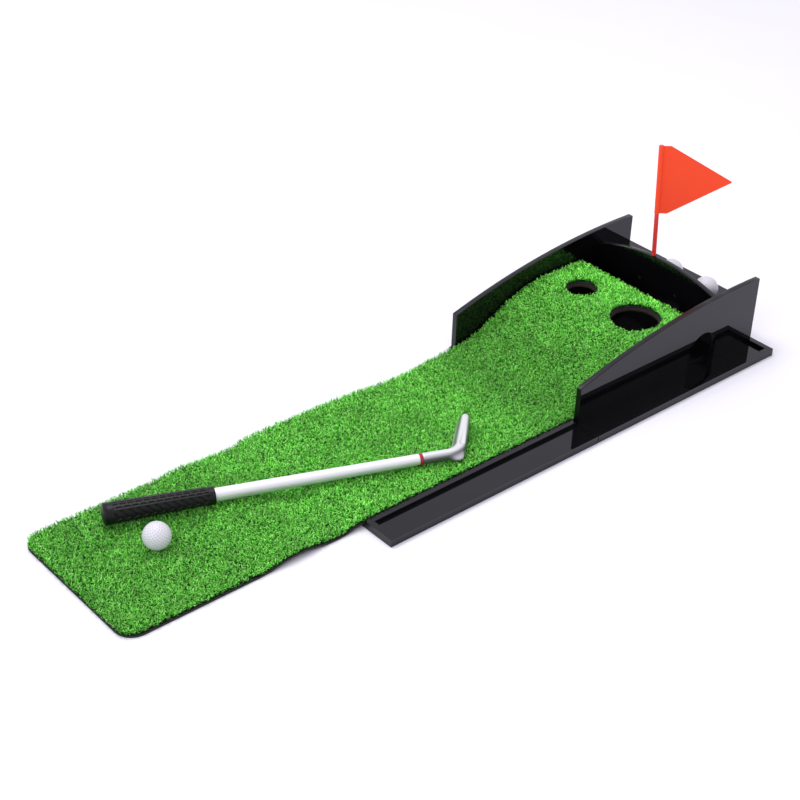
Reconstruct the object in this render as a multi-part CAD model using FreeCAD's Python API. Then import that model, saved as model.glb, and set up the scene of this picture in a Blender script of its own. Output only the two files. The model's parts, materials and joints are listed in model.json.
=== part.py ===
import FreeCAD, Part
import math
import os
from FreeCAD import Placement, Rotation, Vector

# Practice putting mat: turf lane, two gloss trays with a ball gutter, a raised green with two holes,
# a ball return, three balls, a flag and a small putter. Millimetres, +Z up, +Y towards the flag.
# The origin is on the floor, at the middle of the whole object's footprint.

# Trays: two flat boards laid end to end
TRAY_WIDTH = 359.0
FRONT_TRAY_LENGTH = 435.0
REAR_TRAY_LENGTH = 437.0
TRAY_LENGTH = FRONT_TRAY_LENGTH + REAR_TRAY_LENGTH
SEAM_GAP = 1.2  # the front tray's boards stop this far short of the rear tray's
FLOOR_THICKNESS = 7.0
RIM_HEIGHT = 6.0
BOARD = 10.0  # thickness of the rims, panels, shelf and upright boards
RIM_TOP = FLOOR_THICKNESS + RIM_HEIGHT
GUTTER_WIDTH = 51.0  # from the tray's outer edge to the right panel's outer face
FRONT_FLOOR_INSET = 26.0  # the front floor stops short of the mat's left edge by hiding under it

# Turf mat
MAT_OVERHANG = 415.0  # the stretch that lies on the floor in front of the trays
MAT_LEFT_GAP = 5.0
MAT_RIGHT_GAP = 1.0
MAT_CORNER_RADIUS = 30.0
BACKING_THICKNESS = 3.0
PILE_HEIGHT = 8.0
TURF_THICKNESS = BACKING_THICKNESS + PILE_HEIGHT
BUMP_START = 223.0  # from the mat's front edge to the low cross ripple
BUMP_LENGTH = 140.0
BUMP_HEIGHT = 8.0
STEP_RUN = 42.0  # the mat climbs on to the tray over this length
STEP_CLEARANCE = 2.0  # the climb ends this far before the tray's front edge

# Ramp and green
RAMP_START = 437.0  # from the tray's front edge
RAMP_ANGLE = math.radians(27.5)
RAMP_FOOT_RADIUS = 140.0
RAMP_CREST_RADIUS = 230.0
GREEN_HEIGHT = 76.0  # underside of the turf on the green
LANE_BACK = 737.0  # the turf's back edge, from the tray's front edge
RAMP_BOARD = 5.0
RAMP_SPLIT = 600.0
GREEN_BOARD_BACK = 735.0
HOLE_Y = 666.0
BIG_HOLE_RADIUS = 43.0
BIG_HOLE_OFFSET = 60.0  # to the right of the lane's centre line
SMALL_HOLE_RADIUS = 27.0
SMALL_HOLE_OFFSET = -68.0
HOLE_LIP = 1.5  # the board's hole is smaller than the turf's by this radius
PILE_HOLE_MARGIN = 1.0

# Side panels and the boards between them
PANEL_FRONT = 440.0
PANEL_FRONT_HEIGHT = 73.0
PANEL_BACK_HEIGHT = 130.0
PANEL_CREST_FROM_BACK = 37.0
PANEL_SPACING = 288.0  # clear width between the panels
DOOR_Y = 738.7
DOOR_RADIUS = 34.0
DOOR_SPRING = 35.0  # height where the door's round top starts
ARCH_FRONT = 788.0
ARCH_CROWN = 127.5
ARCH_SHOULDER = 100.0
SHELF_TOP = 80.0
SEAT_Y = 821.5
SEAT_RADIUS = 15.0
SEAT_SPACING = 81.0
REAR_BOARD_FRONT = TRAY_LENGTH - BOARD

# Supports under the ramp and the ball return
RIB_THICKNESS = 6.0
RIB_FRONT = 470.0
LEDGE_WIDTH = 10.0
LEDGE_BOTTOM = 60.0
RETURN_BOARD = 3.0
RETURN_LOW = 10.2  # top of the return board at its lowest corner, by the door
RETURN_RISE_X = 8.0
RETURN_RISE_Y = 3.0
RETURN_GAP = 0.5
RUNNER_WIDTH = 8.0
RUNNER_INSET = 14.0
RUNNER_RIGHT_GAP = 60.0  # the runner stops here, where the board comes down to the floor

# Fasteners
DOWEL_RADIUS = 2.0
DOWEL_LENGTH = 30.0
DOWEL_INSETS = (25.0, 180.0, 315.0)  # from the tray's right edge
SCREW_RADIUS = 1.5
SCREW_HEAD_RADIUS = 2.8
SCREW_HEAD_DEPTH = 1.6
SCREW_LENGTH = 22.0
SCREW_CLEARANCE = 0.05
PANEL_SCREW_STATIONS = (475.0, 650.0, 845.0)
ARCH_SCREW_OFFSETS = (-110.0, 110.0)
SHELF_SCREW_OFFSETS = (-42.0, 42.0)

# Flag
FLAG_OFFSET = -20.0  # from the lane's centre line, in the arched board's top edge
FLAG_LEAN = 3.5  # degrees, top towards the left
POLE_RADIUS = 3.9
POLE_FOOT_RADIUS = 2.8  # turned down to go into the board
POLE_SHOULDER = 0.8  # gap under the shoulder, above the board's top edge
POLE_HOLE_RADIUS = 3.0
POLE_HOLE_DEPTH = 24.0
POLE_HEIGHT = 207.0  # above the board's top edge
POLE_NIB = 1.2  # rounding of the pole's ends
PENNANT_LOW = 81.0
PENNANT_HIGH = 206.0
PENNANT_REACH = 123.0
PENNANT_FLAT = 17.0  # straight stretch by the pole, before the taper
PENNANT_THICKNESS = 0.8
PENNANT_TIP_WIDTH = 2.0
PENNANT_TURN = 43.0  # degrees from +X towards +Y
SLEEVE_BORE = 3.98
SLEEVE_RADIUS = 4.5

# Balls
BALL_RADIUS = 21.35
CLEARANCE = 0.3  # between bodies that only rest on each other
MAT_BALL_FROM_RIGHT = 198.6
MAT_BALL_Y = -273.4  # from the tray's front edge

# Putter, lying across the mat: its axis runs from the butt to the ring and on into the hosel
BUTT = Vector(-290.7, -308.0, 32.0)  # from the tray's front right corner
RING = Vector(-113.7, 150.9, 28.63)
GRIP_LENGTH = 168.8
GRIP_BUTT_RADIUS = 17.0
GRIP_FRONT_RADIUS = 13.8
GRIP_CAP_LENGTH = 7.0
GRIP_CAP_VENT = 2.0
SHAFT_BUTT_RADIUS = 10.2
SHAFT_TIP_RADIUS = 8.8
SHAFT_IN_GRIP = 120.0
RING_LENGTH = 5.5
RING_RADIUS = 9.1
HOSEL_LENGTH = 40.5
HOSEL_RADIUS = 8.7
HOSEL_LAP = 3.0  # how far the cast head runs up inside the hosel
HOSEL_SKIN = 0.05
SHAFT_TENON = 30.0
TENON_RADIUS = 5.0
HEAD_BEND = 30.0  # radius of the head's centre line where it turns from the hosel into the blade
HEAD_TURN = math.radians(63.0)
HEAD_STATIONS = 14  # sections along each stretch of the head
BLADE_LENGTH = 76.0  # straight stretch of the blade, up to its round toe
BLADE_HALF_WIDTH = 12.0
BLADE_TOE_HALF_WIDTH = 10.0
BLADE_HALF_THICKNESS = 8.8
HEEL_BULGE = 11.0  # how far the heel's sole stands out of the bend
HEEL_END = 0.85  # the bulge dies out by this share of the bend
TOE_ROUND = 9.0
TOE_END = 0.96  # the toe's last section, as a share of its rounding
# The blade's section in half widths and half thicknesses: a sloping face up to a ridge, then a steep back
BLADE_SECTION = ((1.0, -0.55), (0.62, 0.1), (0.15, 0.9), (-0.2, 1.0), (-0.7, 0.85), (-1.0, 0.1),
                 (-0.85, -0.8), (0.0, -1.0), (0.85, -0.95))
GROOVE_LENGTH = 52.0  # a tapering groove beside the ridge, deepest at the heel
GROOVE_HEEL_RADIUS = 6.5
GROOVE_TOE_RADIUS = 3.0
GROOVE_DEPTH = 2.6
GROOVE_OFFSET = 5.0  # from the blade's centre line, away from the face

# Places worked out from the dimensions above
RIGHT = TRAY_WIDTH / 2.0
LEFT = -RIGHT
PENNANT_ANGLE = math.radians(PENNANT_TURN)
PENNANT_TIP = (ARCH_FRONT + BOARD / 2.0 + PENNANT_REACH * math.sin(PENNANT_ANGLE)
               + PENNANT_THICKNESS / 2.0 * math.cos(PENNANT_ANGLE))
TRAY_FRONT = (MAT_OVERHANG - PENNANT_TIP) / 2.0
MAT_FRONT = TRAY_FRONT - MAT_OVERHANG
SEAM = TRAY_FRONT + FRONT_TRAY_LENGTH
TRAY_BACK = TRAY_FRONT + TRAY_LENGTH
PANEL_RIGHT_IN = RIGHT - GUTTER_WIDTH - BOARD
PANEL_LEFT_IN = PANEL_RIGHT_IN - PANEL_SPACING
LANE_CENTRE = (PANEL_RIGHT_IN + PANEL_LEFT_IN) / 2.0
MAT_LEFT = PANEL_LEFT_IN + MAT_LEFT_GAP
MAT_RIGHT = PANEL_RIGHT_IN - MAT_RIGHT_GAP
UP = Vector(0, 0, 1)
FARTHER = 2000.0  # longer than any part, for cutting tools
NEAR = 1e-6  # two places this close are the same
BELOW = 50.0


def station(distance):
    """The Y of a distance from the tray's front edge."""
    return TRAY_FRONT + distance


def box(x0, x1, y0, y1, z0, z1):
    return Part.makeBox(x1 - x0, y1 - y0, z1 - z0, Vector(x0, y0, z0))


def rod(base, direction, radius, length):
    return Part.makeCylinder(radius, length, base, direction)


def cone(base, direction, radius_a, radius_b, length):
    return Part.makeCone(radius_a, radius_b, length, base, direction)


# ---------------------------------------------------------------- the lane's profile


def lane_path():
    """The mat's underside as (radius, amount) pairs: radius 0 is a straight run of that length,
    any other radius is a bend through that many radians, upwards when positive."""
    bump_turn = 2.0 * math.atan(2.0 * BUMP_HEIGHT / BUMP_LENGTH)
    bump_radius = BUMP_LENGTH / 4.0 / math.sin(bump_turn)
    step_turn = 2.0 * math.atan(FLOOR_THICKNESS / STEP_RUN)
    step_radius = STEP_RUN / 2.0 / math.sin(step_turn)
    before_step = MAT_OVERHANG - STEP_CLEARANCE - STEP_RUN - BUMP_START - BUMP_LENGTH
    ramp_drop = 1.0 - math.cos(RAMP_ANGLE)
    bends_rise = (RAMP_FOOT_RADIUS + RAMP_CREST_RADIUS) * ramp_drop
    slope = (GREEN_HEIGHT - FLOOR_THICKNESS - bends_rise) / math.sin(RAMP_ANGLE)
    bends_run = (RAMP_FOOT_RADIUS + RAMP_CREST_RADIUS) * math.sin(RAMP_ANGLE)
    green_start = RAMP_START + bends_run + slope * math.cos(RAMP_ANGLE)
    return [
        (0.0, BUMP_START),
        (bump_radius, bump_turn),
        (bump_radius, -2.0 * bump_turn),
        (bump_radius, bump_turn),
        (0.0, before_step),
        (step_radius, step_turn),
        (step_radius, -step_turn),
        (0.0, STEP_CLEARANCE + RAMP_START),
        (RAMP_FOOT_RADIUS, RAMP_ANGLE),
        (0.0, slope),
        (RAMP_CREST_RADIUS, -RAMP_ANGLE),
        (0.0, LANE_BACK - green_start),
    ]


def on_bend(centre, reach, heading):
    """The point on a bend where the path has this heading. A bend downwards has a negative reach."""
    return centre + Vector(0, math.sin(heading), -math.cos(heading)) * reach


def lane_edges(rise):
    """Edges of the lane's path in the plane x = 0, lifted by rise along its normal."""
    y, z, heading = MAT_FRONT, 0.0, 0.0
    edges = []
    for radius, amount in lane_path():
        if radius == 0.0:
            lift = Vector(0, -math.sin(heading) * rise, math.cos(heading) * rise)
            start = Vector(0, y, z)
            y += amount * math.cos(heading)
            z += amount * math.sin(heading)
            edges.append(Part.LineSegment(start + lift, Vector(0, y, z) + lift).toShape())
            continue
        side = math.copysign(1.0, amount)
        centre = Vector(0, y - side * radius * math.sin(heading), z + side * radius * math.cos(heading))
        lifted = side * radius - rise
        bend = [on_bend(centre, lifted, heading + turned) for turned in (0.0, amount / 2.0, amount)]
        edges.append(Part.Arc(*bend).toShape())
        heading += amount
        end = on_bend(centre, side * radius, heading)
        y, z = end.y, end.z
    return edges


def solid_between(lower, upper, x0, x1):
    """The solid between two open chains of edges in the plane x = 0, from x0 to x1."""
    starts = [chain[0].Vertexes[0].Point for chain in (lower, upper)]
    ends = [chain[-1].Vertexes[-1].Point for chain in (lower, upper)]
    caps = [Part.LineSegment(*starts).toShape(), Part.LineSegment(*ends).toShape()]
    wire = Part.Wire(Part.__sortEdges__(lower + upper + caps))
    face = Part.Face(wire)
    face.translate(Vector(x0, 0, 0))
    return face.extrude(Vector(x1 - x0, 0, 0))


def lane_band(low, high, x0, x1):
    """A layer that follows the lane, between two heights above the mat's underside."""
    return solid_between(lane_edges(low), lane_edges(high), x0, x1)


def under_lane(x0, x1, y0, y1, z0):
    """What fits under the ramp's boards within a box: from z0 up to their underside."""
    roof = lane_edges(-RAMP_BOARD)
    base = [Part.LineSegment(Vector(0, MAT_FRONT, -BELOW), Vector(0, station(LANE_BACK), -BELOW)).toShape()]
    block = solid_between(base, roof, x0, x1)
    return block.common(box(x0, x1, y0, y1, z0, GREEN_HEIGHT))


def hole_tools(shrink):
    """Upright cylinders for the two holes, smaller than the turf's by shrink."""
    places = ((BIG_HOLE_OFFSET, BIG_HOLE_RADIUS), (SMALL_HOLE_OFFSET, SMALL_HOLE_RADIUS))
    return [rod(Vector(LANE_CENTRE + x, station(HOLE_Y), -BELOW), UP, r - shrink, FARTHER)
            for x, r in places]


def mat_outline():
    """The mat's plan, with rounded corners at the player's end, as an upright prism."""
    prism = box(MAT_LEFT, MAT_RIGHT, MAT_FRONT, station(LANE_BACK), -BELOW, PANEL_BACK_HEIGHT)
    corners = [e for e in prism.Edges
               if all(abs(v.Y - MAT_FRONT) < NEAR for v in e.Vertexes)
               and abs(e.Vertexes[0].X - e.Vertexes[1].X) < NEAR]
    return prism.makeFillet(MAT_CORNER_RADIUS, corners)


def turf_layer(low, high, shrink):
    layer = lane_band(low, high, MAT_LEFT, MAT_RIGHT).common(mat_outline())
    return layer.cut(hole_tools(shrink))


def ramp_boards():
    """The curved ramp board, cut off flat at its toe, and the green's board with its two holes."""
    band = lane_band(-RAMP_BOARD, 0.0, PANEL_LEFT_IN, PANEL_RIGHT_IN)
    toe_end = station(RAMP_START)
    split = station(RAMP_SPLIT)
    ramp = band.common(box(LEFT, RIGHT, toe_end, split, FLOOR_THICKNESS, PANEL_BACK_HEIGHT))
    back = station(GREEN_BOARD_BACK)
    green = band.common(box(LEFT, RIGHT, split, back, FLOOR_THICKNESS, PANEL_BACK_HEIGHT))
    return ramp, green.cut(hole_tools(HOLE_LIP))


# ---------------------------------------------------------------- trays, panels and boards


def dowels(clearance):
    start = SEAM - DOWEL_LENGTH / 2.0 - clearance
    return [rod(Vector(RIGHT - inset, start, FLOOR_THICKNESS / 2.0), Vector(0, 1, 0),
                DOWEL_RADIUS + clearance, DOWEL_LENGTH + 2.0 * clearance)
            for inset in DOWEL_INSETS]


def screw(head_centre, direction, clearance):
    """A countersunk screw, its head flush with the face at head_centre, grown by clearance."""
    head = cone(head_centre, direction, SCREW_HEAD_RADIUS + clearance, SCREW_RADIUS + clearance,
                SCREW_HEAD_DEPTH)
    return head.fuse(rod(head_centre, direction, SCREW_RADIUS + clearance, SCREW_LENGTH + clearance))


def panel_screws(clearance):
    middles = (PANEL_LEFT_IN - BOARD / 2.0, PANEL_RIGHT_IN + BOARD / 2.0)
    return [screw(Vector(x, station(s), 0), UP, clearance)
            for x in middles for s in PANEL_SCREW_STATIONS]


def arch_screws(clearance):
    middle = station(ARCH_FRONT) + BOARD / 2.0
    return [screw(Vector(LANE_CENTRE + x, middle, 0), UP, clearance) for x in ARCH_SCREW_OFFSETS]


def shelf_screws(clearance):
    height = SHELF_TOP - BOARD / 2.0
    return [screw(Vector(LANE_CENTRE + x, station(ARCH_FRONT), height), Vector(0, 1, 0), clearance)
            for x in SHELF_SCREW_OFFSETS]


def tray_floors():
    front = box(LEFT + FRONT_FLOOR_INSET, RIGHT, TRAY_FRONT, SEAM - SEAM_GAP, 0, FLOOR_THICKNESS)
    rear = box(LEFT, RIGHT, SEAM, TRAY_BACK, 0, FLOOR_THICKNESS)
    pins = dowels(SCREW_CLEARANCE)
    screws = panel_screws(SCREW_CLEARANCE) + arch_screws(SCREW_CLEARANCE)
    return front.cut(pins), rear.cut(pins + screws)


def rims():
    """The low strips round the gutter, each a separate glued piece."""
    inner = RIGHT - GUTTER_WIDTH
    outer = RIGHT - BOARD
    first = TRAY_FRONT + BOARD
    last = TRAY_BACK - BOARD
    low, high = FLOOR_THICKNESS, RIM_TOP
    return {
        "gutter_front_rim": box(PANEL_RIGHT_IN, RIGHT, TRAY_FRONT, first, low, high),
        "gutter_inner_rail": box(PANEL_RIGHT_IN, inner, first, SEAM - SEAM_GAP, low, high),
        "gutter_outer_rim_front": box(outer, RIGHT, first, SEAM - SEAM_GAP, low, high),
        "gutter_outer_rim_rear": box(outer, RIGHT, SEAM, last, low, high),
        "gutter_back_rim": box(inner, RIGHT, last, TRAY_BACK, low, high),
    }


def panel_outline():
    """A side panel's face in the plane x = 0, with its long arched top edge."""
    front, back = station(PANEL_FRONT), TRAY_BACK
    crest = back - PANEL_CREST_FROM_BACK
    run_a, run_b = crest - front, back - crest
    rise = PANEL_BACK_HEIGHT - PANEL_FRONT_HEIGHT
    middle_z = (PANEL_BACK_HEIGHT + PANEL_FRONT_HEIGHT - (run_a ** 2 - run_b ** 2) / rise) / 2.0
    radius = math.hypot(run_b, PANEL_BACK_HEIGHT - middle_z)
    corners = [Vector(0, front, PANEL_FRONT_HEIGHT), Vector(0, front, FLOOR_THICKNESS),
               Vector(0, back, FLOOR_THICKNESS), Vector(0, back, PANEL_BACK_HEIGHT)]
    edges = [Part.LineSegment(a, b).toShape() for a, b in zip(corners, corners[1:])]
    top = Part.Arc(corners[-1], Vector(0, crest, middle_z + radius), corners[0])
    return Part.Face(Part.Wire(edges + [top.toShape()]))


def side_panel(inner_x, outer_x):
    face = panel_outline()
    face.translate(Vector(inner_x, 0, 0))
    panel = face.extrude(Vector(outer_x - inner_x, 0, 0))
    return panel.cut(panel_screws(SCREW_CLEARANCE))


def door_tool():
    """The ball door: straight sides and a round top, through the right panel."""
    middle = station(DOOR_Y)
    x0, x1 = PANEL_RIGHT_IN - BOARD, RIGHT
    sides = box(x0, x1, middle - DOOR_RADIUS, middle + DOOR_RADIUS, 0, DOOR_SPRING)
    top = rod(Vector(x0, middle, DOOR_SPRING), Vector(1, 0, 0), DOOR_RADIUS, x1 - x0)
    return sides.fuse(top)


def arched_board():
    """The upright board behind the green, with an arched top edge and the flag's hole in it."""
    y0 = station(ARCH_FRONT)
    left, right = PANEL_LEFT_IN, PANEL_RIGHT_IN
    corners = [Vector(right, y0, ARCH_SHOULDER), Vector(right, y0, FLOOR_THICKNESS),
               Vector(left, y0, FLOOR_THICKNESS), Vector(left, y0, ARCH_SHOULDER)]
    edges = [Part.LineSegment(a, b).toShape() for a, b in zip(corners, corners[1:])]
    top = Part.Arc(corners[-1], Vector(LANE_CENTRE, y0, ARCH_CROWN), corners[0])
    board = Part.Face(Part.Wire(edges + [top.toShape()])).extrude(Vector(0, BOARD, 0))
    hole = in_flag_frame(rod(Vector(0, 0, -POLE_HOLE_DEPTH), UP, POLE_HOLE_RADIUS, FARTHER))
    return board.cut([hole] + shelf_screws(SCREW_CLEARANCE) + arch_screws(SCREW_CLEARANCE))


def ball_shelf():
    shelf = box(PANEL_LEFT_IN, PANEL_RIGHT_IN, station(ARCH_FRONT) + BOARD, TRAY_BACK,
                SHELF_TOP - BOARD, SHELF_TOP)
    seats = [rod(Vector(seat_x(i), station(SEAT_Y), 0), UP, SEAT_RADIUS, FARTHER) for i in (-1, 0, 1)]
    return shelf.cut(seats + shelf_screws(SCREW_CLEARANCE))


def rear_board():
    return box(PANEL_LEFT_IN, PANEL_RIGHT_IN, station(REAR_BOARD_FRONT), TRAY_BACK,
               FLOOR_THICKNESS, SHELF_TOP - BOARD)


# ---------------------------------------------------------------- inside the ramp


def ramp_ribs():
    """Three ribs along the ramp and one across it, which also closes the return's front."""
    split = station(RAMP_SPLIT)
    cross_front = split - RIB_THICKNESS / 2.0
    lefts = {
        "ramp_rib_left": PANEL_LEFT_IN,
        "ramp_rib_centre": LANE_CENTRE - RIB_THICKNESS / 2.0,
        "ramp_rib_right": PANEL_RIGHT_IN - RIB_THICKNESS,
    }
    ribs = {name: under_lane(x, x + RIB_THICKNESS, station(RIB_FRONT), cross_front, FLOOR_THICKNESS)
            for name, x in lefts.items()}
    ribs["ramp_cross_rib"] = under_lane(PANEL_LEFT_IN, PANEL_RIGHT_IN, cross_front,
                                        cross_front + RIB_THICKNESS, FLOOR_THICKNESS)
    return ribs


def green_ledges():
    """Strips on the panels' inner faces that carry the green's board."""
    y0 = station(RAMP_SPLIT) + RIB_THICKNESS / 2.0
    y1 = station(GREEN_BOARD_BACK)
    starts = {"green_ledge_left": PANEL_LEFT_IN, "green_ledge_right": PANEL_RIGHT_IN - LEDGE_WIDTH}
    return {name: under_lane(x, x + LEDGE_WIDTH, y0, y1, LEDGE_BOTTOM) for name, x in starts.items()}


def return_top(x, y):
    """Height of the return board's top: it falls to the right and to the back, towards the door."""
    along_x = (PANEL_RIGHT_IN - x) / PANEL_SPACING
    along_y = (station(ARCH_FRONT) - y) / (ARCH_FRONT - RAMP_SPLIT)
    return RETURN_LOW + RETURN_RISE_X * along_x + RETURN_RISE_Y * along_y


def return_board():
    x0, x1 = PANEL_LEFT_IN + RETURN_GAP, PANEL_RIGHT_IN - RETURN_GAP
    y0 = station(RAMP_SPLIT) + RIB_THICKNESS / 2.0 + RETURN_GAP
    y1 = station(ARCH_FRONT) - RETURN_GAP
    corners = [(x0, y0), (x1, y0), (x1, y1), (x0, y1), (x0, y0)]
    top = Part.Face(Part.makePolygon([Vector(x, y, return_top(x, y)) for x, y in corners]))
    return top.extrude(Vector(0, 0, -RETURN_BOARD))


def return_runner(y0):
    """A tapered strip across the floor that carries the return board at y0."""
    y1 = y0 + RUNNER_WIDTH
    x0, x1 = PANEL_LEFT_IN + RETURN_GAP, PANEL_RIGHT_IN - RUNNER_RIGHT_GAP
    heights = [return_top(x, y1) - RETURN_BOARD for x in (x0, x1)]
    corners = [Vector(x0, y0, FLOOR_THICKNESS), Vector(x1, y0, FLOOR_THICKNESS),
               Vector(x1, y0, heights[1]), Vector(x0, y0, heights[0])]
    face = Part.Face(Part.makePolygon(corners + corners[:1]))
    return face.extrude(Vector(0, RUNNER_WIDTH, 0))


# ---------------------------------------------------------------- flag


def flag_foot():
    """Where the pole's axis meets the arched board's top edge."""
    half = PANEL_SPACING / 2.0
    sagitta = ARCH_CROWN - ARCH_SHOULDER
    radius = (half ** 2 + sagitta ** 2) / (2.0 * sagitta)
    height = ARCH_CROWN - radius + math.sqrt(radius ** 2 - FLAG_OFFSET ** 2)
    return Vector(LANE_CENTRE + FLAG_OFFSET, station(ARCH_FRONT) + BOARD / 2.0, height)


def in_flag_frame(shape):
    """Moves a shape made about the Z axis on to the leaning pole's axis."""
    shape.Placement = Placement(flag_foot(), Rotation(Vector(0, 1, 0), -FLAG_LEAN)).multiply(shape.Placement)
    return shape


def flag_pole():
    low = -POLE_HOLE_DEPTH + CLEARANCE
    foot = rod(Vector(0, 0, low), UP, POLE_FOOT_RADIUS, POLE_HOLE_DEPTH + POLE_SHOULDER)
    pole = rod(Vector(0, 0, POLE_SHOULDER), UP, POLE_RADIUS, POLE_HEIGHT - POLE_SHOULDER)
    rim = [e for e in pole.Edges if e.Closed and e.CenterOfMass.z > POLE_HEIGHT - NEAR]
    return in_flag_frame(pole.makeFillet(POLE_NIB, rim).fuse(foot).removeSplitter())


def pennant():
    """A thin stiff pennant with a tubular sleeve round the pole."""
    half = PENNANT_THICKNESS / 2.0
    middle = (PENNANT_LOW + PENNANT_HIGH) / 2.0
    tip = PENNANT_TIP_WIDTH / 2.0
    corners = [(0.0, PENNANT_LOW), (PENNANT_FLAT, PENNANT_LOW), (PENNANT_REACH, middle - tip),
               (PENNANT_REACH, middle + tip), (PENNANT_FLAT, PENNANT_HIGH), (0.0, PENNANT_HIGH)]
    points = [Vector(x, -half, z) for x, z in corners]
    leaf = Part.Face(Part.makePolygon(points + points[:1])).extrude(Vector(0, PENNANT_THICKNESS, 0))
    height = PENNANT_HIGH - PENNANT_LOW
    sleeve = rod(Vector(0, 0, PENNANT_LOW), UP, SLEEVE_RADIUS, height)
    bore = rod(Vector(0, 0, 0), UP, SLEEVE_BORE, FARTHER)
    shape = sleeve.fuse(leaf).cut(bore).removeSplitter()
    shape.rotate(Vector(), UP, PENNANT_TURN)
    return in_flag_frame(shape)


# ---------------------------------------------------------------- balls


def seat_x(index):
    return LANE_CENTRE + index * SEAT_SPACING


def balls():
    resting_z = TURF_THICKNESS + BALL_RADIUS + CLEARANCE
    on_mat = Vector(RIGHT - MAT_BALL_FROM_RIGHT, station(MAT_BALL_Y), resting_z)
    sunk = math.sqrt(BALL_RADIUS ** 2 - SEAT_RADIUS ** 2)
    shelf_z = SHELF_TOP + sunk + CLEARANCE
    places = {
        "golf_ball_on_mat": on_mat,
        "golf_ball_shelf_middle": Vector(seat_x(0), station(SEAT_Y), shelf_z),
        "golf_ball_shelf_right": Vector(seat_x(1), station(SEAT_Y), shelf_z),
    }
    return {name: Part.makeSphere(BALL_RADIUS, centre) for name, centre in places.items()}


# ---------------------------------------------------------------- putter


def putter_axis():
    corner = Vector(RIGHT, TRAY_FRONT, 0)
    start, ring = BUTT + corner, RING + corner
    direction = ring - start
    length = direction.Length
    return start, direction.normalize(), length


def putter_grip():
    start, axis, _ = putter_axis()
    base = start + axis * GRIP_CAP_LENGTH
    length = GRIP_LENGTH - GRIP_CAP_LENGTH
    body = cone(base, axis, GRIP_BUTT_RADIUS, GRIP_FRONT_RADIUS, length)
    socket_start = start + axis * (GRIP_LENGTH - SHAFT_IN_GRIP)
    return body.cut(rod(socket_start, axis, SHAFT_BUTT_RADIUS, SHAFT_IN_GRIP))


def grip_cap():
    start, axis, _ = putter_axis()
    cap = rod(start, axis, GRIP_BUTT_RADIUS, GRIP_CAP_LENGTH)
    outer = [e for e in cap.Edges if e.Closed and (e.Vertexes[0].Point - start).dot(axis) < 1.0]
    cap = cap.makeFillet(GRIP_CAP_LENGTH / 2.0, outer)
    return cap.cut(rod(start, axis, GRIP_CAP_VENT, GRIP_CAP_LENGTH / 2.0))


def putter_shaft():
    start, axis, to_ring = putter_axis()
    grip_front = start + axis * GRIP_LENGTH
    inside = rod(start + axis * (GRIP_LENGTH - SHAFT_IN_GRIP), axis, SHAFT_BUTT_RADIUS, SHAFT_IN_GRIP)
    outside = cone(grip_front, axis, SHAFT_BUTT_RADIUS, SHAFT_TIP_RADIUS, to_ring - GRIP_LENGTH)
    tenon = rod(start + axis * to_ring, axis, TENON_RADIUS, SHAFT_TENON)
    return inside.fuse([outside, tenon]).removeSplitter()


def shaft_ring():
    start, axis, to_ring = putter_axis()
    base = start + axis * to_ring
    return rod(base, axis, RING_RADIUS, RING_LENGTH).cut(rod(base, axis, TENON_RADIUS, RING_LENGTH))


def head_section(centre, across, half, sole, half_height, roundness):
    """One closed section of the head, upright and across its path. Its shape runs from a circle,
    at roundness 1, to the blade's section, at 0. The sole is the half width of its low outer corner."""
    points = []
    for v, z in BLADE_SECTION:
        reach = math.hypot(v, z)
        v = v + (v / reach - v) * roundness
        z = z + (z / reach - z) * roundness
        half_width = sole if v < 0.0 and z < 0.0 else half
        points.append(centre + across * (v * half_width) + UP * (z * half_height))
    outline = Part.BSplineCurve()
    outline.interpolate(Points=points, PeriodicFlag=True)
    return Part.Wire(outline.toShape())


def head_sections(base, axis):
    """Sections from inside the hosel's end, round the bend, along the blade and round its toe."""
    start = base + axis * HOSEL_LENGTH
    ahead = Vector(axis.x, axis.y, 0).normalize()
    left = UP.cross(ahead)
    centre_of_bend = start + left * HEAD_BEND
    sections = [head_section(start - axis * HOSEL_LAP, left, HOSEL_RADIUS, HOSEL_RADIUS, HOSEL_RADIUS, 1.0)]
    for i in range(HEAD_STATIONS + 1):
        share = i / HEAD_STATIONS
        turn = Rotation(UP, math.degrees(HEAD_TURN * share))
        centre = centre_of_bend - turn.multVec(left) * HEAD_BEND
        half = HOSEL_RADIUS + (BLADE_HALF_WIDTH - HOSEL_RADIUS) * share
        sole = half + HEEL_BULGE * math.sin(math.pi * min(1.0, share / HEEL_END))
        height = HOSEL_RADIUS + (BLADE_HALF_THICKNESS - HOSEL_RADIUS) * share
        sections.append(head_section(centre, turn.multVec(left), half, sole, height, 1.0 - share))
    across = turn.multVec(left)
    heading = turn.multVec(ahead)
    for i in range(1, HEAD_STATIONS + 1):
        share = i / HEAD_STATIONS
        half = BLADE_HALF_WIDTH + (BLADE_TOE_HALF_WIDTH - BLADE_HALF_WIDTH) * share ** 2
        middle = centre + heading * (BLADE_LENGTH * share)
        sections.append(head_section(middle, across, half, half, BLADE_HALF_THICKNESS, 0.0))
    for i in range(1, HEAD_STATIONS + 1):
        share = TOE_END * math.sin(math.pi / 2.0 * i / HEAD_STATIONS)
        shrink = math.sqrt(1.0 - share ** 2)
        end = middle + heading * (TOE_ROUND * share) - UP * (BLADE_HALF_THICKNESS * (1.0 - shrink) / 2.0)
        sections.append(head_section(end, across, half * shrink, half * shrink,
                                     BLADE_HALF_THICKNESS * (1.0 + shrink) / 2.0, 0.0))
    return sections, centre, heading, across


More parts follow.
